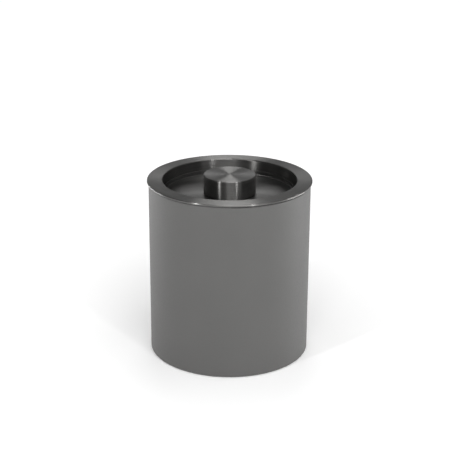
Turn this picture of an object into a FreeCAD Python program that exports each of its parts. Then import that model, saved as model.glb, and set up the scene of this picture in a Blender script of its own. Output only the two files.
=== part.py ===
import FreeCAD, Part
import Sketcher
import os
import re

# Round insulated ice bucket with a lift-off lid. Millimetres, +Z up, origin at the centre of the
# base, on the surface that the bucket stands on. Every piece is turned about Z, so most sections
# are drawn as corners of (radius, level), each an expression of the cells in the sheet.

DIMENSIONS = {
    # clearance between pieces that slide together
    "fit_gap": 0.3,
    # rim ring: a flat metal ring over the wall, with a skirt that lines the well
    "rim_radius": 82.5,
    "rim_top": 180.5,
    "rim_edge": 2.0,
    "rim_round": 0.8,
    "well_radius": 67.0,
    "well_round": 1.0,
    "well_depth": 15.0,
    "skirt_wall": 1.4,
    "ledge_reach": 4.0,
    "ledge_wall": 1.4,
    "spigot_wall": 2.0,
    "spigot_depth": 3.4,
    "spigot_lead": 0.5,
    "rim_gasket_height": 0.8,
    "rim_gasket_width": 1.2,
    # outer shell: rolled sheet, hemmed at the top, with a folded seat for the base plate
    "shell_radius": 81.0,
    "shell_wall": 1.0,
    "shell_foot": 0.8,
    "shell_round": 0.9,
    "hem_depth": 8.0,
    "seat_level": 7.0,
    "seat_radius": 72.0,
    # inner liner: the cup that holds the ice
    "liner_radius": 61.5,
    "liner_wall": 0.8,
    "liner_floor": 20.0,
    "liner_corner": 8.0,
    "liner_mouth": 1.5,
    "liner_gasket_height": 0.6,
    # foam between the liner and the shell
    "foam_gap": 0.4,
    "foam_radius": 78.6,
    "foam_top": 174.4,
    "foam_lead": 1.5,
    # base plate: a ribbed moulding with a well for the nut and a groove for the foot
    "base_foot": 2.0,
    "web_wall": 2.5,
    "foot_inner": 70.8,
    "foot_outer": 76.2,
    "foot_groove": 1.5,
    "foot_round": 0.8,
    "groove_land": 2.8,
    "nut_well_radius": 14.0,
    "nut_well_roof": 12.0,
    "roof_round": 1.5,
    "rib_width": 2.0,
    "rib_depth": 2.0,
    "rib_overlap": 0.5,
    "rib_count": 8,
    # M6 stud, nut, washers and screw
    "thread_radius": 3.0,
    "thread_play": 0.05,
    "hole_radius": 3.3,
    "stud_pad_radius": 9.0,
    "stud_pad_height": 1.5,
    "stud_end": 4.6,
    "thread_point": 0.6,
    "nut_flats": 10.0,
    "nut_height": 5.0,
    "nut_bevel_inset": 0.2,
    "nut_bevel_angle": 30.0,
    "nut_bevel_reach": 1.0,
    "wide_washer_radius": 9.0,
    "wide_washer_height": 1.5,
    # lid: a shallow pan over a foam-filled underpan
    "pan_radius": 66.6,
    "pan_wall": 1.0,
    "pan_lip": 4.4,
    "pan_corner": 1.6,
    "underpan_radius": 60.4,
    "underpan_floor": 150.0,
    "underpan_corner": 5.0,
    "lid_flange_radius": 66.2,
    "lid_gasket_height": 2.4,
    "lid_gasket_inner": 61.4,
    "seal_round": 0.5,
    "sleeve_radius": 5.0,
    # knob and the screw that holds it
    "knob_radius": 26.1,
    "knob_height": 19.0,
    "knob_round": 0.9,
    "knob_foot_bevel": 0.4,
    "knob_relief": 0.6,
    "knob_relief_radius": 18.0,
    "knob_hole_depth": 14.0,
    "knob_washer_height": 0.5,
    "knob_washer_radius": 24.6,
    "screw_length": 30.0,
    "screw_head_radius": 5.25,
    "screw_head_height": 3.3,
    "socket_flats": 4.0,
    "socket_depth": 2.1,
    "seal_radius": 6.5,
    "seal_height": 1.0,
    "washer_radius": 7.0,
    "washer_height": 1.2,
}

# Levels above the table that several pieces share
SHELL_TOP = "rim_top - rim_edge - rim_gasket_height"
PAN_FLOOR = "rim_top - well_depth"
PAN_UNDER = f"{PAN_FLOOR} - pan_wall"
LID_FLANGE = f"{PAN_UNDER} - liner_wall"
LINER_TOP = f"{LID_FLANGE} - lid_gasket_height"
LEDGE_TOP = f"{LINER_TOP} - liner_wall - liner_gasket_height"
LINER_UNDER = "liner_floor - liner_wall"
SCREW_SEAT = "underpan_floor - seal_height - washer_height"

# Radii that several pieces share
LINER_OUTER = "liner_radius + liner_wall"
LEDGE_INNER = "well_radius - ledge_reach"
SPIGOT_RADIUS = "shell_radius - 2 * shell_wall - fit_gap"

doc = FreeCAD.newDocument("ice_bucket")
sheet = doc.addObject("Spreadsheet::Sheet", "Dimensions")
pieces = []


def fill_sheet():
    for row, (alias, size) in enumerate(DIMENSIONS.items(), 1):
        sheet.set(f"A{row}", alias)
        sheet.set(f"B{row}", str(size))
        sheet.setAlias(f"B{row}", alias)
    doc.recompute()


def bound(text):
    """The expression with each dimension's name turned into a reference to its cell."""
    return re.sub(r"\b[a-z]+_[a-z_]+\b", r"Dimensions.\g<0>", text)


def number(text):
    """The expression's present value."""
    return float(sheet.evalExpression(bound(text)))


def new_body(label):
    body = doc.addObject("PartDesign::Body", label)
    body.Label = label
    pieces.append(body)
    return body


def origin_plane(body, role):
    return next(plane for plane in body.Origin.OriginFeatures if plane.Role == role)


def pin_corner(sketch, line, axis, text):
    """Hold one coordinate of a line's first end at the expression's value."""
    value = number(text)
    if abs(value) < 1e-9:
        across = -2 if axis == "X" else -1
        sketch.addConstraint(Sketcher.Constraint("PointOnObject", line, 1, across))
        return
    held = Sketcher.Constraint(f"Distance{axis}", -1, 1, line, 1, value)
    index = sketch.addConstraint(held)
    name = f"corner_{line}_{axis.lower()}"
    sketch.renameConstraint(index, name)
    sketch.setExpression(f"Constraints.{name}", bound(text))


def draw_outline(body, name, role, corners, level="0"):
    """A closed sketch of straight sides through the corners, each coordinate an expression."""
    sketch = body.newObject("Sketcher::SketchObject", name)
    sketch.AttachmentSupport = [(origin_plane(body, role), "")]
    sketch.MapMode = "FlatFace"
    if level != "0":
        sketch.setExpression("AttachmentOffset.Base.z", bound(level))
    points = [FreeCAD.Vector(number(across), number(up), 0) for across, up in corners]
    following = points[1:] + points[:1]
    for start, end in zip(points, following):
        sketch.addGeometry(Part.LineSegment(start, end), False)
    for line in range(len(points)):
        after = (line + 1) % len(points)
        sketch.addConstraint(Sketcher.Constraint("Coincident", line, 2, after, 1))
    for line, (across, up) in enumerate(corners):
        pin_corner(sketch, line, "X", across)
        pin_corner(sketch, line, "Y", up)
    return sketch


def turn_about_axis(body, name, corners, feature="PartDesign::Revolution"):
    """Turn a section of (radius, level) corners right round Z."""
    sketch = draw_outline(body, f"{name}_section", "XZ_Plane", corners)
    turned = body.newObject(feature, name)
    turned.Profile = sketch
    turned.ReferenceAxis = (sketch, ["V_Axis"])
    turned.Angle = 360
    sketch.Visibility = False
    doc.recompute()
    return turned


def ring_edges(shape, rings):
    """Names of the circular edges about Z at the given (radius, level) places."""
    wanted = [(number(radius), number(level)) for radius, level in rings]
    names = []
    for count, edge in enumerate(shape.Edges, 1):
        if not isinstance(edge.Curve, Part.Circle):
            continue
        place = (edge.Curve.Radius, edge.Curve.Center.z)
        if any(abs(place[0] - r) < 1e-4 and abs(place[1] - z) < 1e-4 for r, z in wanted):
            names.append(f"Edge{count}")
    if len(names) < len(rings):
        raise ValueError(f"only {len(names)} of {len(rings)} edges found")
    return names


def soften(body, name, rings, size, feature="PartDesign::Fillet"):
    """Round or bevel the body's circular edges at (radius, level) places."""
    base = body.Tip
    edges = ring_edges(base.Shape, rings)
    eased = body.newObject(feature, name)
    eased.Base = (base, edges)
    sized = "Radius" if feature == "PartDesign::Fillet" else "Size"
    eased.setExpression(sized, bound(size))
    doc.recompute()
    return eased


def cut_smaller(body, before, name):
    if body.Shape.Volume >= before - 1e-6:
        raise ValueError(f"{name} cut nothing from {body.Label}")


def washer(label, inner, outer, bottom, top):
    """A plain flat ring."""
    body = new_body(label)
    corners = [(inner, bottom), (outer, bottom), (outer, top), (inner, top)]
    turn_about_axis(body, f"{label}_ring", corners)
    return body


def hexagon(flats):
    """Corners of a hexagon with two corners on X, from its size across flats."""
    corner = f"{flats} / sqrt(3)"
    half = f"{flats} / 2"
    side = f"{flats} / sqrt(3) / 2"
    return [
        (corner, "0"),
        (side, half),
        (f"-({side})", half),
        (f"-({corner})", "0"),
        (f"-({side})", f"-({half})"),
        (side, f"-({half})"),
    ]


def make_outer_shell():
    body = new_body("outer_shell")
    inside = "shell_radius - shell_wall"
    hem = "shell_radius - 2 * shell_wall"
    hem_end = f"{SHELL_TOP} - hem_depth"
    seat_top = "seat_level + shell_wall"
    turn_about_axis(body, "folded_sheet", [
        ("shell_radius", "shell_foot"),
        ("shell_radius", SHELL_TOP),
        (hem, SHELL_TOP),
        (hem, hem_end),
        (inside, hem_end),
        (inside, seat_top),
        ("seat_radius", seat_top),
        ("seat_radius", "seat_level"),
        (hem, "seat_level"),
        (hem, "shell_foot"),
    ])
    soften(body, "top_bend", [("shell_radius", SHELL_TOP), (hem, SHELL_TOP)], "shell_round")
    soften(body, "foot_bend", [("shell_radius", "shell_foot"), (hem, "shell_foot")], "0.7 * shell_round")


def make_rim_ring():
    body = new_body("rim_ring")
    under = "rim_top - rim_edge"
    spigot_inner = f"{SPIGOT_RADIUS} - spigot_wall"
    spigot_end = f"{under} - spigot_depth"
    skirt_outer = "well_radius + skirt_wall"
    ledge_under = f"{LEDGE_TOP} - ledge_wall"
    turn_about_axis(body, "ring_section", [
        ("rim_radius", "rim_top"),
        ("well_radius", "rim_top"),
        ("well_radius", LEDGE_TOP),
        (LEDGE_INNER, LEDGE_TOP),
        (LEDGE_INNER, ledge_under),
        (skirt_outer, ledge_under),
        (skirt_outer, under),
        (spigot_inner, under),
        (spigot_inner, spigot_end),
        (SPIGOT_RADIUS, spigot_end),
        (SPIGOT_RADIUS, under),
        ("rim_radius", under),
    ])
    soften(body, "lip_round", [("rim_radius", "rim_top")], "rim_round")
    soften(body, "lip_under_round", [("rim_radius", under)], "0.7 * rim_round")
    soften(body, "well_bend", [("well_radius", "rim_top")], "well_round")
    soften(body, "spigot_bevel", [(SPIGOT_RADIUS, spigot_end)], "spigot_lead", "PartDesign::Chamfer")


def make_rim_gasket():
    middle = "shell_radius - shell_wall"
    washer(
        "rim_gasket",
        f"{middle} - rim_gasket_width / 2",
        f"{middle} + rim_gasket_width / 2",
        SHELL_TOP,
        "rim_top - rim_edge",
    )


def make_inner_liner():
    body = new_body("inner_liner")
    flange_outer = "well_radius - fit_gap"
    flange_under = f"{LINER_TOP} - liner_wall"
    turn_about_axis(body, "drawn_cup", [
        ("0", "liner_floor"),
        ("liner_radius", "liner_floor"),
        ("liner_radius", LINER_TOP),
        (flange_outer, LINER_TOP),
        (flange_outer, flange_under),
        (LINER_OUTER, flange_under),
        (LINER_OUTER, LINER_UNDER),
        ("0", LINER_UNDER),
    ])
    soften(body, "inner_corner", [("liner_radius", "liner_floor")], "liner_corner")
    soften(body, "outer_corner", [(LINER_OUTER, LINER_UNDER)], "liner_corner + liner_wall")
    soften(body, "mouth_bend", [("liner_radius", LINER_TOP)], "liner_mouth")
    soften(body, "mouth_under_bend", [(LINER_OUTER, flange_under)], "liner_mouth - liner_wall")


def make_liner_gasket():
    washer(
        "liner_gasket",
        f"{LEDGE_INNER} + fit_gap",
        "well_radius - fit_gap",
        LEDGE_TOP,
        f"{LINER_TOP} - liner_wall",
    )


def make_insulation_sleeve():
    body = new_body("insulation_sleeve")
    inner = f"{LINER_OUTER} + foam_gap"
    neck = "well_radius + skirt_wall + foam_gap"
    step = f"{LEDGE_TOP} - ledge_wall - foam_gap"
    bottom = "seat_level + shell_wall"
    turn_about_axis(body, "stepped_sleeve", [
        (inner, bottom),
        ("foam_radius", bottom),
        ("foam_radius", "foam_top"),
        (neck, "foam_top"),
        (neck, step),
        (inner, step),
    ])
    soften(body, "lead_in", [("foam_radius", bottom)], "foam_lead", "PartDesign::Chamfer")


def make_base_insulation():
    washer(
        "base_insulation",
        "nut_well_radius + web_wall + foam_gap",
        LINER_OUTER,
        "seat_level",
        f"{LINER_UNDER} - foam_gap",
    )


def make_base_plate():
    body = new_body("base_plate")
    outer = SPIGOT_RADIUS
    web_under = "seat_level - web_wall"
    groove_roof = "base_foot + foot_groove"
    groove_inner = "foot_inner - fit_gap"
    groove_outer = "foot_outer + fit_gap"
    border = f"{groove_inner} - groove_land"
    well_outer = "nut_well_radius + web_wall"
    collar_end = f"{web_under} - rib_depth"
    roof_top = "nut_well_roof + web_wall"
    turn_about_axis(body, "plate_section", [
        ("hole_radius", "nut_well_roof"),
        ("nut_well_radius", "nut_well_roof"),
        ("nut_well_radius", collar_end),
        (well_outer, collar_end),
        (well_outer, web_under),
        (border, web_under),
        (border, "base_foot"),
        (groove_inner, "base_foot"),
        (groove_inner, groove_roof),
        (groove_outer, groove_roof),
        (groove_outer, "base_foot"),
        (outer, "base_foot"),
        (outer, "seat_level"),
        (well_outer, "seat_level"),
        (well_outer, roof_top),
        ("hole_radius", roof_top),
    ])
    soften(body, "well_roof_round", [(well_outer, roof_top)], "roof_round")
    rib_end = f"{border} + rib_overlap"
    rib = [
        ("nut_well_radius + web_wall / 2", "-rib_width / 2"),
        (rib_end, "-rib_width / 2"),
        (rib_end, "rib_width / 2"),
        ("nut_well_radius + web_wall / 2", "rib_width / 2"),
    ]
    sketch = draw_outline(body, "rib_outline", "XY_Plane", rib, web_under)
    pad = body.newObject("PartDesign::Pad", "rib")
    pad.Profile = sketch
    pad.setExpression("Length", bound("rib_depth"))
    pad.Reversed = True
    sketch.Visibility = False
    doc.recompute()
    pattern = body.newObject("PartDesign::PolarPattern", "ribs")
    pattern.Originals = [pad]
    pattern.Axis = (sketch, ["N_Axis"])
    pattern.Angle = 360
    pattern.setExpression("Occurrences", bound("rib_count"))
    body.Tip = pattern
    doc.recompute()


def make_foot_ring():
    body = washer("foot_ring", "foot_inner", "foot_outer", "0", "base_foot + foot_groove")
    soften(body, "foot_round_edges", [("foot_inner", "0"), ("foot_outer", "0")], "foot_round")


def make_liner_stud():
    body = new_body("liner_stud")
    shank = "thread_radius - thread_play"
    pad_under = f"{LINER_UNDER} - stud_pad_height"
    turn_about_axis(body, "stud_section", [
        ("0", "stud_end"),
        (shank, "stud_end"),
        (shank, pad_under),
        ("stud_pad_radius", pad_under),
        ("stud_pad_radius", LINER_UNDER),
        ("0", LINER_UNDER),
    ])
    soften(body, "stud_point", [(shank, "stud_end")], "thread_point", "PartDesign::Chamfer")


def make_base_washer():
    bottom = "nut_well_roof - wide_washer_height"
    washer("base_washer", "hole_radius", "wide_washer_radius", bottom, "nut_well_roof")


def make_base_nut():
    body = new_body("base_nut")
    top = "nut_well_roof - wide_washer_height"
    bottom = f"{top} - nut_height"
    sketch = draw_outline(body, "nut_hexagon", "XY_Plane", hexagon("nut_flats"), bottom)
    pad = body.newObject("PartDesign::Pad", "nut_blank")
    pad.Profile = sketch
    pad.setExpression("Length", bound("nut_height"))
    sketch.Visibility = False
    doc.recompute()
    before = body.Shape.Volume
    flat = "nut_flats / 2 - nut_bevel_inset"
    beyond = "nut_flats / sqrt(3) + nut_bevel_reach"
    fall = f"({beyond} - ({flat})) * tan(nut_bevel_angle * 1 deg)"
    for name, level, inward in (("top_bevel", top, "-"), ("bottom_bevel", bottom, "+")):
        turn_about_axis(
            body,
            name,
            [(flat, level), (beyond, level), (beyond, f"{level} {inward} {fall}")],
            "PartDesign::Groove",
        )
        cut_smaller(body, before, name)
        before = body.Shape.Volume
    bore = [("0", bottom), ("thread_radius", bottom), ("thread_radius", top), ("0", top)]
    turn_about_axis(body, "nut_bore", bore, "PartDesign::Groove")
    cut_smaller(body, before, "nut_bore")


def make_lid_pan():
    body = new_body("lid_pan")
    inside = "pan_radius - pan_wall"
    lip = f"{PAN_FLOOR} + pan_lip"
    turn_about_axis(body, "pan_section", [
        ("hole_radius", PAN_UNDER),
        ("pan_radius", PAN_UNDER),
        ("pan_radius", lip),
        (inside, lip),
        (inside, PAN_FLOOR),
        ("hole_radius", PAN_FLOOR),
    ])
    soften(body, "outer_bend", [("pan_radius", PAN_UNDER)], "pan_corner")
    soften(body, "inner_bend", [(inside, PAN_FLOOR)], "pan_corner - pan_wall")
    soften(body, "lip_round", [("pan_radius", lip), (inside, lip)], "0.4 * pan_wall")


def make_lid_underpan():
    body = new_body("lid_underpan")
    inside = "underpan_radius - liner_wall"
    floor = "underpan_floor + liner_wall"
    turn_about_axis(body, "underpan_section", [
        ("hole_radius", "underpan_floor"),
        ("underpan_radius", "underpan_floor"),
        ("underpan_radius", LID_FLANGE),
        ("lid_flange_radius", LID_FLANGE),
        ("lid_flange_radius", PAN_UNDER),
        (inside, PAN_UNDER),
        (inside, floor),
        ("hole_radius", floor),
    ])
    soften(body, "outer_corner", [("underpan_radius", "underpan_floor")], "underpan_corner")
    soften(body, "inner_corner", [(inside, floor)], "underpan_corner - liner_wall")
    soften(body, "flange_bend", [(inside, PAN_UNDER)], "liner_mouth")
    soften(body, "flange_under_bend", [("underpan_radius", LID_FLANGE)], "liner_mouth - liner_wall")


def make_lid_insulation():
    body = washer(
        "lid_insulation",
        "sleeve_radius + foam_gap",
        "underpan_radius - liner_wall - foam_gap",
        "underpan_floor + liner_wall",
        f"{PAN_UNDER} - foam_gap",
    )
    edge = ("underpan_radius - liner_wall - foam_gap", "underpan_floor + liner_wall")
    soften(body, "foam_corner", [edge], "underpan_corner")


def make_lid_gasket():
    body = washer("lid_gasket", "lid_gasket_inner", "lid_flange_radius", LINER_TOP, LID_FLANGE)
    soften(body, "seal_edge", [("lid_flange_radius", LINER_TOP)], "seal_round")


def make_lid_knob():
    body = new_body("lid_knob")
    foot = f"{PAN_FLOOR} + knob_washer_height"
    top = f"{foot} + knob_height"
    relief = f"{foot} + knob_relief"
    hole_end = f"{foot} + knob_hole_depth"
    turn_about_axis(body, "knob_section", [
        ("0", hole_end),
        ("thread_radius", hole_end),
        ("thread_radius", relief),
        ("knob_relief_radius", relief),
        ("knob_relief_radius", foot),
        ("knob_radius", foot),
        ("knob_radius", top),
        ("0", top),
    ])
    soften(body, "top_edge", [("knob_radius", top)], "knob_round")
    soften(body, "foot_edge", [("knob_radius", foot)], "knob_foot_bevel", "PartDesign::Chamfer")


def make_knob_washer():
    washer(
        "knob_washer",
        "knob_relief_radius",
        "knob_washer_radius",
        PAN_FLOOR,
        f"{PAN_FLOOR} + knob_washer_height",
    )


def make_knob_screw():
    body = new_body("knob_screw")
    shank = "thread_radius - thread_play"
    head_end = f"{SCREW_SEAT} - screw_head_height"
    tip = f"{SCREW_SEAT} + screw_length"
    turn_about_axis(body, "screw_section", [
        ("0", head_end),
        ("screw_head_radius", head_end),
        ("screw_head_radius", SCREW_SEAT),
        (shank, SCREW_SEAT),
        (shank, tip),
        ("0", tip),
    ])
    soften(body, "head_dome", [("screw_head_radius", head_end)], "0.75 * screw_head_height")
    soften(body, "screw_point", [(shank, tip)], "thread_point", "PartDesign::Chamfer")
    before = body.Shape.Volume
    sketch = draw_outline(body, "socket_hexagon", "XY_Plane", hexagon("socket_flats"), head_end)
    pocket = body.newObject("PartDesign::Pocket", "hex_socket")
    pocket.Profile = sketch
    pocket.setExpression("Length", bound("socket_depth"))
    pocket.Reversed = True
    sketch.Visibility = False
    doc.recompute()
    cut_smaller(body, before, "hex_socket")


def make_screw_washers():
    seal_under = "underpan_floor - seal_height"
    washer("screw_seal", "hole_radius", "seal_radius", seal_under, "underpan_floor")
    washer("screw_washer", "hole_radius", "washer_radius", SCREW_SEAT, seal_under)


def make_spacer_sleeve():
    floor = "underpan_floor + liner_wall"
    washer("spacer_sleeve", "hole_radius", "sleeve_radius", floor, PAN_UNDER)


def check_document():
    for item in doc.Objects:
        if "Invalid" in item.State or "Error" in item.State:
            raise ValueError(f"{item.Label} failed: {item.State}")
    for piece in pieces:
        if piece.Shape.isNull() or not piece.Shape.isValid() or len(piece.Shape.Solids) != 1:
            raise ValueError(f"{piece.Label} is not one valid solid")


def write_parts():
    os.makedirs("parts", exist_ok=True)
    for piece in pieces:
        piece.Shape.exportStep(os.path.join("parts", f"{piece.Label}.step"))
        box = piece.Shape.BoundBox
        litres = piece.Shape.Volume / 1e6
        print(f"{piece.Label:20s} z {box.ZMin:7.2f} to {box.ZMax:7.2f}  {litres:.4f} L")


fill_sheet()
make_outer_shell()
make_rim_ring()
make_rim_gasket()
make_inner_liner()
make_liner_gasket()
make_insulation_sleeve()
make_base_insulation()
make_base_plate()
make_foot_ring()
make_liner_stud()
make_base_washer()
make_base_nut()
make_lid_pan()
make_lid_underpan()
make_lid_insulation()
make_lid_gasket()
make_lid_knob()
make_knob_washer()
make_knob_screw()
make_screw_washers()
make_spacer_sleeve()
doc.recompute()
check_document()
write_parts()
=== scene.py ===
import math

import bpy
from mathutils import Matrix, Vector


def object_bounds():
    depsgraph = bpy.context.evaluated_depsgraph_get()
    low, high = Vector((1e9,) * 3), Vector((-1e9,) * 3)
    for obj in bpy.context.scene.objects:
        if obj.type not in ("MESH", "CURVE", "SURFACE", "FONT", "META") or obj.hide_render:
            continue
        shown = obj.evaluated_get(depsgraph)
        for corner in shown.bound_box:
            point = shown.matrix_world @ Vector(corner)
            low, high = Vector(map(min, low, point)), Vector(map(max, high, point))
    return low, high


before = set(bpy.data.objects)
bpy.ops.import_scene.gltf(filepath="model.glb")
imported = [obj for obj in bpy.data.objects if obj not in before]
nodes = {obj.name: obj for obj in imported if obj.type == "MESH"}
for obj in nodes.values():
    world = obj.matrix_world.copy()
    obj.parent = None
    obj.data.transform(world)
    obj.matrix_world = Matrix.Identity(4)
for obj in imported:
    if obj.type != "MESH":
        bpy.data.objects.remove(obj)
cad_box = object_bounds()

# The bucket stands at the origin with +Z up. Lengths are in metres and angles in degrees.
height = cad_box[1].z


# ---------------------------------------------------------------- camera, floor and light

CAMERA_PLACE = (0.0, -1.15577, 0.5524)
CAMERA_PITCH = 20.267
CAMERA_ROLL = 0.291
CAMERA_YAW = -0.028
LENS_MM = 95.22
SENSOR_MM = 36.0
FLOOR_HALF_WIDTH = 30.0


def make_camera():
    data = bpy.data.cameras.new("camera")
    data.lens = LENS_MM
    data.sensor_width = SENSOR_MM
    data.sensor_fit = "HORIZONTAL"
    camera = bpy.data.objects.new("camera", data)
    bpy.context.scene.collection.objects.link(camera)
    yaw = Matrix.Rotation(math.radians(CAMERA_YAW), 4, "Z")
    pitch = Matrix.Rotation(math.radians(90 - CAMERA_PITCH), 4, "X")
    roll = Matrix.Rotation(math.radians(CAMERA_ROLL), 4, "Z")
    camera.matrix_world = Matrix.Translation(CAMERA_PLACE) @ yaw @ pitch @ roll
    bpy.context.scene.camera = camera


def make_floor(material):
    half = FLOOR_HALF_WIDTH
    mesh = bpy.data.meshes.new("floor")
    corners = [(-half, -half, 0), (half, -half, 0), (half, half, 0), (-half, half, 0)]
    mesh.from_pydata(corners, [], [(0, 1, 2, 3)])
    mesh.materials.append(material)
    floor = bpy.data.objects.new("floor", mesh)
    bpy.context.scene.collection.objects.link(floor)


def direction(azimuth, elevation):
    """Unit vector from the bucket. Azimuth 0 is on the viewer's side, 90 on the right."""
    turn = math.radians(azimuth)
    rise = math.radians(elevation)
    return Vector((math.sin(turn) * math.cos(rise), -math.cos(turn) * math.cos(rise), math.sin(rise)))


# Broad bounce light from the studio's walls: name, azimuth, elevation, narrowness, strength
BOUNCE = (
    ("zenith", 0, 90, 4, 0.65),
    ("front_high", 0, 55, 8, 1.05),
    ("front_low", 0, 12, 12, 0.6),
    ("right_high", 90, 50, 8, 0.45),
    ("left_low", -90, 12, 12, 0.1),
    ("back_left", -135, 15, 12, 0.25),
    ("back_right", 135, 15, 12, 0.25),
)

# Soft boxes: name, azimuth, elevation, width, height, watts
SOFT_BOXES = (
    ("strip_left", -45, 18, 0.055, 0.90, 6.2),
    ("strip_right", 31, 18, 0.10, 0.90, 4.8),
    ("fill_right", 45, 18, 0.30, 0.60, 0.8),
    ("front_top", 6, 44, 0.85, 0.50, 6.6),
    ("back_high", 180, 60, 0.50, 0.50, 3.5),
    ("back_low", 180, 25, 0.50, 0.40, 0.66),
    ("kicker_right", 100, -2.5, 1.00, 0.06, 9.5),
    ("kicker_left", -118, -2.5, 1.00, 0.06, 6.0),
)
SOFT_BOX_DISTANCE = 1.5
SOFT_BOX_AIM = 0.6  # share of the bucket's height that they look at


def make_bounce_light():
    """The studio's bounce light. The camera sees a plain white backdrop in its place."""
    world = bpy.data.worlds.new("studio")
    bpy.context.scene.world = world
    world.use_nodes = True
    tree = world.node_tree
    tree.nodes.clear()
    ray = tree.nodes.new("ShaderNodeTexCoord").outputs["Generated"]
    total = None
    for name, azimuth, elevation, narrowness, strength in BOUNCE:
        facing = tree.nodes.new("ShaderNodeVectorMath")
        facing.name = name
        facing.operation = "DOT_PRODUCT"
        tree.links.new(ray, facing.inputs[0])
        facing.inputs[1].default_value = direction(azimuth, elevation)
        ahead = tree.nodes.new("ShaderNodeMath")
        ahead.operation = "MAXIMUM"
        tree.links.new(facing.outputs["Value"], ahead.inputs[0])
        ahead.inputs[1].default_value = 0.0
        narrowed = tree.nodes.new("ShaderNodeMath")
        narrowed.operation = "POWER"
        tree.links.new(ahead.outputs[0], narrowed.inputs[0])
        narrowed.inputs[1].default_value = narrowness
        added = tree.nodes.new("ShaderNodeMath")
        added.operation = "MULTIPLY_ADD"
        tree.links.new(narrowed.outputs[0], added.inputs[0])
        added.inputs[1].default_value = strength
        added.inputs[2].default_value = 0.0
        if total is not None:
            tree.links.new(total, added.inputs[2])
        total = added.outputs[0]
    bounce = tree.nodes.new("ShaderNodeBackground")
    tree.links.new(total, bounce.inputs["Color"])
    backdrop = tree.nodes.new("ShaderNodeBackground")
    backdrop.inputs["Color"].default_value = grey(1.0)
    light_path = tree.nodes.new("ShaderNodeLightPath")
    seen = tree.nodes.new("ShaderNodeMixShader")
    tree.links.new(light_path.outputs["Is Camera Ray"], seen.inputs[0])
    tree.links.new(bounce.outputs[0], seen.inputs[1])
    tree.links.new(backdrop.outputs[0], seen.inputs[2])
    output = tree.nodes.new("ShaderNodeOutputWorld")
    tree.links.new(seen.outputs[0], output.inputs[0])


def make_soft_box(name, azimuth, elevation, width, tall, watts):
    """An area light that looks at the bucket."""
    data = bpy.data.lights.new(name, "AREA")
    data.shape = "RECTANGLE"
    data.size = width
    data.size_y = tall
    data.energy = watts
    lamp = bpy.data.objects.new(name, data)
    bpy.context.scene.collection.objects.link(lamp)
    away = direction(azimuth, elevation)
    lamp.location = Vector((0, 0, SOFT_BOX_AIM * height)) + away * SOFT_BOX_DISTANCE
    lamp.rotation_mode = "QUATERNION"
    lamp.rotation_quaternion = away.to_track_quat("Z", "Y")


def make_studio():
    make_bounce_light()
    for soft_box in SOFT_BOXES:
        make_soft_box(*soft_box)
    view = bpy.context.scene.view_settings
    view.view_transform = "Standard"
    view.look = "None"
    view.exposure = 0.0
    view.gamma = 1.0


# ---------------------------------------------------------------- material building blocks

# The Mix node has sockets for every data type, and these are its colour ones
MIX_FIRST_COLOUR = 6
MIX_SECOND_COLOUR = 7
MIX_RESULT_COLOUR = 2


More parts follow.
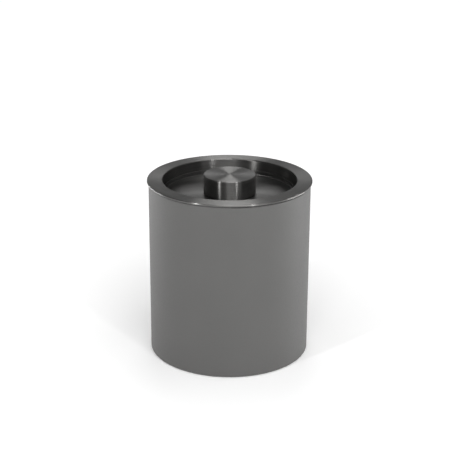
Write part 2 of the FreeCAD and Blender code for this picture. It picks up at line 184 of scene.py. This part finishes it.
class Recipe:
    """A material's node tree, with short ways to add nodes to it."""

    def __init__(self, name):
        self.material = bpy.data.materials.new(name)
        self.material.use_nodes = True
        self.tree = self.material.node_tree
        self.tree.nodes.clear()
        self.shader = self.add("ShaderNodeBsdfPrincipled")
        output = self.add("ShaderNodeOutputMaterial")
        self.join(self.shader.outputs["BSDF"], output.inputs["Surface"])
        self.place = self.add("ShaderNodeTexCoord").outputs["Object"]

    def add(self, kind, **settings):
        made = self.tree.nodes.new(kind)
        for key, value in settings.items():
            setattr(made, key, value)
        return made

    def join(self, start, end):
        self.tree.links.new(start, end)

    def feed(self, socket, value):
        """Link a node's output to the socket, or set the socket to a number or colour."""
        if isinstance(value, bpy.types.NodeSocket):
            self.join(value, socket)
        else:
            socket.default_value = value

    def math(self, operation, first, second=0.0, third=None):
        made = self.add("ShaderNodeMath", operation=operation)
        self.feed(made.inputs[0], first)
        self.feed(made.inputs[1], second)
        if third is not None:
            self.feed(made.inputs[2], third)
        return made.outputs[0]

    def scaled(self, vector, amounts):
        made = self.add("ShaderNodeVectorMath", operation="MULTIPLY")
        self.feed(made.inputs[0], vector)
        made.inputs[1].default_value = amounts
        return made.outputs[0]

    def noise(self, vector, scale, detail=2.0, roughness=0.5):
        """Noise with about scale bumps to the vector's unit, which is a metre for place."""
        made = self.add("ShaderNodeTexNoise")
        self.feed(made.inputs["Vector"], vector)
        made.inputs["Scale"].default_value = scale
        made.inputs["Detail"].default_value = detail
        made.inputs["Roughness"].default_value = roughness
        return made.outputs["Fac"]

    def noise_colour(self, scale):
        made = self.add("ShaderNodeTexNoise")
        self.join(self.place, made.inputs["Vector"])
        made.inputs["Scale"].default_value = scale
        return made.outputs["Color"]

    def cells(self, vector, scale, feature):
        made = self.add("ShaderNodeTexVoronoi", feature=feature)
        self.feed(made.inputs["Vector"], vector)
        made.inputs["Scale"].default_value = scale
        return made.outputs["Distance"]

    def between(self, value, low_out, high_out, low_in=0.0, high_in=1.0):
        """The value moved from one range to another."""
        made = self.add("ShaderNodeMapRange")
        self.feed(made.inputs["Value"], value)
        made.inputs["From Min"].default_value = low_in
        made.inputs["From Max"].default_value = high_in
        made.inputs["To Min"].default_value = low_out
        made.inputs["To Max"].default_value = high_out
        return made.outputs["Result"]

    def blend(self, amount, first, second):
        made = self.add("ShaderNodeMix", data_type="RGBA")
        self.feed(made.inputs["Factor"], amount)
        self.feed(made.inputs[MIX_FIRST_COLOUR], first)
        self.feed(made.inputs[MIX_SECOND_COLOUR], second)
        return made.outputs[MIX_RESULT_COLOUR]

    def bump(self, level, depth, after=None):
        """A bump whose full height is depth, in metres, on top of the bump after."""
        made = self.add("ShaderNodeBump")
        made.inputs["Strength"].default_value = 1.0
        made.inputs["Distance"].default_value = depth
        self.join(level, made.inputs["Height"])
        if after is not None:
            self.join(after, made.inputs["Normal"])
        return made.outputs["Normal"]

    def turned_place(self, across, around):
        """Place for noise that runs round the Z axis: many marks across it and few around it."""
        parts = self.add("ShaderNodeSeparateXYZ")
        self.join(self.place, parts.inputs[0])
        flat = self.add("ShaderNodeCombineXYZ")
        self.join(parts.outputs[0], flat.inputs[0])
        self.join(parts.outputs[1], flat.inputs[1])
        length = self.add("ShaderNodeVectorMath", operation="LENGTH")
        self.join(flat.outputs[0], length.inputs[0])
        spoke = self.add("ShaderNodeVectorMath", operation="NORMALIZE")
        self.join(flat.outputs[0], spoke.inputs[0])
        spoke_parts = self.add("ShaderNodeSeparateXYZ")
        self.join(spoke.outputs[0], spoke_parts.inputs[0])
        radius_and_level = self.math("ADD", length.outputs["Value"], parts.outputs[2])
        place = self.add("ShaderNodeCombineXYZ")
        self.join(self.math("MULTIPLY", radius_and_level, across), place.inputs[0])
        self.join(self.math("MULTIPLY", spoke_parts.outputs[0], around), place.inputs[1])
        self.join(self.math("MULTIPLY", spoke_parts.outputs[1], around), place.inputs[2])
        return place.outputs[0]

    def set(self, **values):
        for key, value in values.items():
            self.feed(self.shader.inputs[key.replace("_", " ")], value)


def grey(value, warm=0.0):
    """A grey with a little more red and less blue, as warm says."""
    return (value * (1 + warm), value, value * (1 - 2 * warm), 1.0)


# ---------------------------------------------------------------- materials


# Marks that a lathe leaves, per metre across them, and how deep they are
FINE_MARKS = 9000.0
COARSE_MARKS = 900.0
MARK_DEPTH = 0.000004

# How much the marks change the metal's shade and roughness
SHADE_SPREAD = 0.2
ROUGH_SPREAD = 0.12


def turned_metal(name, shade, rough, stretch, marks=1.0, warm=0.012):
    """Metal finished on a lathe: fine marks round the axis and highlights stretched across them."""
    recipe = Recipe(name)
    shade_spread = SHADE_SPREAD * marks
    rough_spread = ROUGH_SPREAD * marks
    fine = recipe.noise(recipe.turned_place(FINE_MARKS, 3.0), 1.0, 3.0, 0.6)
    coarse = recipe.noise(recipe.turned_place(COARSE_MARKS, 1.0), 1.0, 2.0, 0.5)
    mix = recipe.math("ADD", recipe.math("MULTIPLY", fine, 0.6), recipe.math("MULTIPLY", coarse, 0.4))
    haze = recipe.noise(recipe.place, 60.0, 3.0, 0.5)
    recipe.set(
        Base_Color=recipe.blend(
            recipe.between(mix, 0.0, 1.0, 0.3, 0.7),
            grey(shade * (1 - shade_spread), warm),
            grey(shade * (1 + shade_spread), warm),
        ),
        Metallic=1.0,
        Roughness=recipe.math(
            "ADD",
            recipe.between(mix, rough * (1 - rough_spread), rough * (1 + rough_spread), 0.25, 0.75),
            recipe.between(haze, -0.02, 0.02, 0.3, 0.7),
        ),
        Anisotropic=stretch,
        Anisotropic_Rotation=0.25,
        Normal=recipe.bump(mix, MARK_DEPTH * marks),
    )
    tangent = recipe.add("ShaderNodeTangent", direction_type="RADIAL", axis="Z")
    recipe.join(tangent.outputs[0], recipe.shader.inputs["Tangent"])
    return recipe.material


def powder_coat(name):
    """Fine matte powder coat: a faint orange peel, finer grain on it and slight shade drift."""
    recipe = Recipe(name)
    peel = recipe.noise(recipe.place, 700.0, 2.0, 0.5)
    grain = recipe.noise(recipe.place, 4200.0, 2.0, 0.6)
    drift = recipe.noise(recipe.place, 9.0, 3.0, 0.5)
    recipe.set(
        Base_Color=recipe.blend(
            recipe.between(recipe.math("MULTIPLY_ADD", grain, 0.3, drift), 0.0, 1.0, 0.45, 0.85),
            grey(0.078, 0.012),
            grey(0.088, 0.012),
        ),
        Roughness=recipe.between(peel, 0.50, 0.60, 0.3, 0.7),
        Specular_IOR_Level=0.5,
        Normal=recipe.bump(peel, 0.00001, after=recipe.bump(grain, 0.000003)),
    )
    return recipe.material


def silicone(name, shade, rough):
    """Moulded rubber: matt, with fine speckle and a dusty bloom that comes and goes."""
    recipe = Recipe(name)
    speckle = recipe.noise(recipe.place, 2600.0, 3.0, 0.6)
    bloom = recipe.noise(recipe.place, 45.0, 4.0, 0.6)
    recipe.set(
        Base_Color=recipe.blend(
            recipe.between(recipe.math("MULTIPLY_ADD", speckle, 0.4, bloom), 0.0, 1.0, 0.5, 0.9),
            grey(shade * 0.8),
            grey(shade * 1.35),
        ),
        Roughness=recipe.between(bloom, rough - 0.08, rough + 0.06, 0.3, 0.7),
        Specular_IOR_Level=0.4,
        Sheen_Weight=0.08,
        Sheen_Roughness=0.5,
        Normal=recipe.bump(speckle, 0.00001),
    )
    return recipe.material


def moulded_plastic(name, shade, warm=0.0):
    """Injection moulding with a spark-eroded grain and faint flow shading."""
    recipe = Recipe(name)
    grain = recipe.noise(recipe.place, 1700.0, 4.0, 0.65)
    flow = recipe.noise(recipe.scaled(recipe.place, (1.0, 1.0, 0.35)), 30.0, 3.0, 0.5)
    recipe.set(
        Base_Color=recipe.blend(
            recipe.between(recipe.math("MULTIPLY_ADD", grain, 0.35, flow), 0.0, 1.0, 0.45, 0.9),
            grey(shade * 0.88, warm),
            grey(shade * 1.12, warm),
        ),
        Roughness=recipe.between(grain, 0.42, 0.6, 0.3, 0.7),
        Specular_IOR_Level=0.5,
        Normal=recipe.bump(grain, 0.00003),
    )
    return recipe.material


BEADS_PER_METRE = 270.0
BEAD_WOBBLE = 0.0012


def bead_foam(name, shade):
    """Expanded polystyrene: fused beads with fine creases between them, and painted shade that
    darkens the creases.
    """
    recipe = Recipe(name)
    wobble = recipe.add("ShaderNodeVectorMath", operation="MULTIPLY_ADD")
    recipe.join(recipe.noise_colour(90.0), wobble.inputs[0])
    wobble.inputs[1].default_value = (BEAD_WOBBLE, BEAD_WOBBLE, BEAD_WOBBLE)
    recipe.join(recipe.place, wobble.inputs[2])
    crease = recipe.cells(wobble.outputs[0], BEADS_PER_METRE, "DISTANCE_TO_EDGE")
    bead = recipe.cells(wobble.outputs[0], BEADS_PER_METRE, "F1")
    crease_height_and_shade = recipe.between(crease, 0.0, 1.0, 0.0, 0.22)
    recipe.set(
        # The colour darkens in the creases between the beads: painted shade
        Base_Color=recipe.blend(
            recipe.between(recipe.math("MULTIPLY_ADD", bead, 0.25, crease_height_and_shade), 0.0, 1.0, 0.0, 1.1),
            grey(shade * 0.72, 0.01),
            grey(shade, 0.005),
        ),
        Roughness=recipe.between(bead, 0.55, 0.75),
        Specular_IOR_Level=0.35,
        Normal=recipe.bump(crease_height_and_shade, 0.00012),
    )
    return recipe.material


# Distances from the bucket's axis at which the floor's painted glow, a painted light, starts to grow,
# slows down and stops
GLOW_STARTS = 0.11
GLOW_SLOWS = 0.25
GLOW_STOPS = 1.6

# How strong the painted glow is under the bucket, and how much it grows on each of the two stretches
LEAST_GLOW = 0.10
NEAR_GROWTH = 0.10
FAR_GROWTH = 0.32


def white_floor(name):
    """White paper with a painted glow that grows away from the bucket, so that the shadows soon fade
    to white.
    """
    recipe = Recipe(name)
    shade = recipe.noise(recipe.place, 3.0, 2.0, 0.5)
    distance = recipe.add("ShaderNodeVectorMath", operation="LENGTH")
    recipe.join(recipe.place, distance.inputs[0])
    away = distance.outputs["Value"]
    near_glow = recipe.between(away, 0.0, NEAR_GROWTH, GLOW_STARTS, GLOW_SLOWS)
    far_glow = recipe.between(away, LEAST_GLOW, LEAST_GLOW + FAR_GROWTH, GLOW_SLOWS, GLOW_STOPS)
    recipe.set(
        Base_Color=recipe.blend(shade, grey(0.93), grey(0.96)),
        Roughness=0.9,
        Specular_IOR_Level=0.1,
        # Painted light: the floor's emission, stronger further from the bucket
        Emission_Color=grey(1.0),
        Emission_Strength=recipe.math("ADD", near_glow, far_glow),
    )
    return recipe.material


def dress(material, *names):
    """Give carried-over nodes their finished material."""
    for name in names:
        for held in nodes[name].material_slots:
            held.material = material


make_camera()
make_studio()
make_floor(white_floor("floor_paper"))

dress(powder_coat("powder_coat"), "outer_shell")
dress(
    turned_metal("turned_gunmetal", shade=0.17, rough=0.34, stretch=1.0),
    "rim_ring", "lid_pan", "lid_knob",
)
dress(
    turned_metal("satin_steel", shade=0.60, rough=0.32, stretch=0.6, marks=0.4, warm=0.004),
    "inner_liner", "lid_underpan",
)
dress(
    turned_metal("fastener_steel", shade=0.55, rough=0.24, stretch=0.4, marks=0.5, warm=0.006),
    "liner_stud", "base_washer", "base_nut", "knob_screw", "screw_washer",
)
dress(
    silicone("black_silicone", shade=0.022, rough=0.62),
    "rim_gasket", "liner_gasket", "lid_gasket", "knob_washer", "screw_seal",
)
dress(silicone("foot_silicone", shade=0.035, rough=0.7), "foot_ring")
dress(moulded_plastic("base_plastic", shade=0.036), "base_plate")
dress(moulded_plastic("sleeve_plastic", shade=0.62, warm=0.01), "spacer_sleeve")
dress(bead_foam("bead_foam", shade=0.84), "insulation_sleeve", "base_insulation", "lid_insulation")
